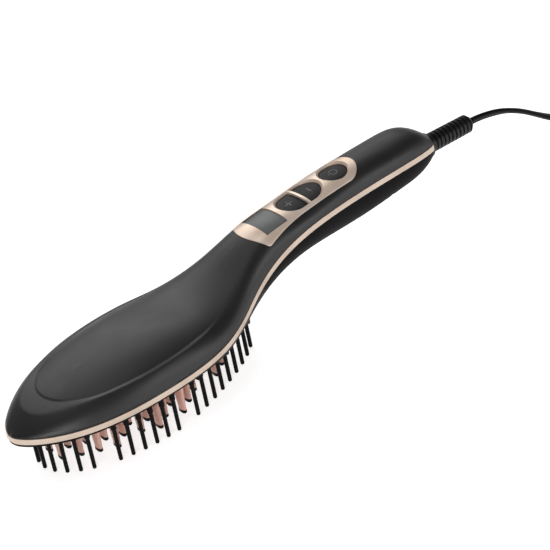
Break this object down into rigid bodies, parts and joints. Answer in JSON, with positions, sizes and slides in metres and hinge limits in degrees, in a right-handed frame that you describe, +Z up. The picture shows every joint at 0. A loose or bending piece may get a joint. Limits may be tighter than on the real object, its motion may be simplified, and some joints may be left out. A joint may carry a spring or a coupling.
{
  "type": "heated hair straightener brush",
  "caption": "Heated hair brush: oval head with heated teeth inside a ring of bristles, slim handle with keys and display, swivel cord, coiled cord and plug.",
  "frame": {"origin": "centre of the bounding box at its base, the plane of the bristle tips, without the cord, its coil and its plug", "axes": "+X along the handle from the nose of the head to the cord, +Y across the brush, +Z up from the bristle tips to the control panel"},
  "size_m": [0.5802, 0.0955, 0.0623],
  "materials": {
    "housing": "matte charcoal soft-touch paint",
    "trim": "champagne metallic, satin",
    "panel": "rose-gold metallic, satin",
    "keys": "matt black",
    "display": "dark grey glossy window",
    "heatproof": "matt black heatproof nylon",
    "teeth": "rose-gold ceramic coat",
    "ceramic": "white alumina ceramic",
    "mica": "mica sheet",
    "steel": "zinc plated",
    "board": "green solder mask",
    "component": "black moulded",
    "terminal": "green moulded",
    "lcd": "liquid crystal module",
    "lead": "silicone sleeve",
    "brass": "bright",
    "rubber": "moulded",
    "cable": "PVC cord jacket"
  },
  "bodies": {
    "body": {"top_shell": "housing", "bottom_shell": "housing", "trim_band": "trim", "bristle_frame": "heatproof", "control_panel": "panel", "display_window": "display", "outer_bristles": "heatproof", "heel_peg": "heatproof", "heating_plate": "teeth", "heating_teeth": "teeth", "tooth_caps": "heatproof", "ceramic_heater": "ceramic", "mica_sheet": "mica", "heater_clamp": "steel", "clamp_screws": "steel", "plate_screws": "steel", "shell_screws": "steel", "board_screws": "steel", "thermistor": "ceramic", "thermal_fuse": "steel", "heater_leads": "lead", "control_board": "board", "lcd_module": "lcd", "button_switches": "component", "power_board": "board", "mains_capacitor": "component", "triac": "component", "terminal_block": "terminal", "contact_block": "component", "contact_springs": "brass", "swivel_collar": "component", "mains_leads": "lead", "cord": "cable", "cord_coil": "cable", "cord_tie": "rubber", "plug_lead": "cable", "plug_body": "rubber", "plug_pins": "steel"},
    "power_key": {"power_button": "keys"},
    "plus_key": {"plus_button": "keys"},
    "minus_key": {"minus_button": "keys"},
    "swivel": {"strain_relief": "rubber", "slip_rings": "brass"}
  },
  "joints": [
    {"name": "power_press", "type": "slide", "parent": "body", "child": "power_key", "axis": [0.0663, 0, -0.9978], "range_m": [0, 0.0005], "stiffness_N_per_m": 300, "springref_m": -0.001},
    {"name": "plus_press", "type": "slide", "parent": "body", "child": "plus_key", "axis": [0.0663, 0, -0.9978], "range_m": [0, 0.0005], "stiffness_N_per_m": 300, "springref_m": -0.001},
    {"name": "minus_press", "type": "slide", "parent": "body", "child": "minus_key", "axis": [0.0663, 0, -0.9978], "range_m": [0, 0.0005], "stiffness_N_per_m": 300, "springref_m": -0.001},
    {"name": "cord_swivel", "type": "hinge", "parent": "body", "child": "swivel", "pos_m": [0.1277, 0, 0.0433], "axis": [0.9976, 0, -0.0698], "continuous": true}
  ]
}
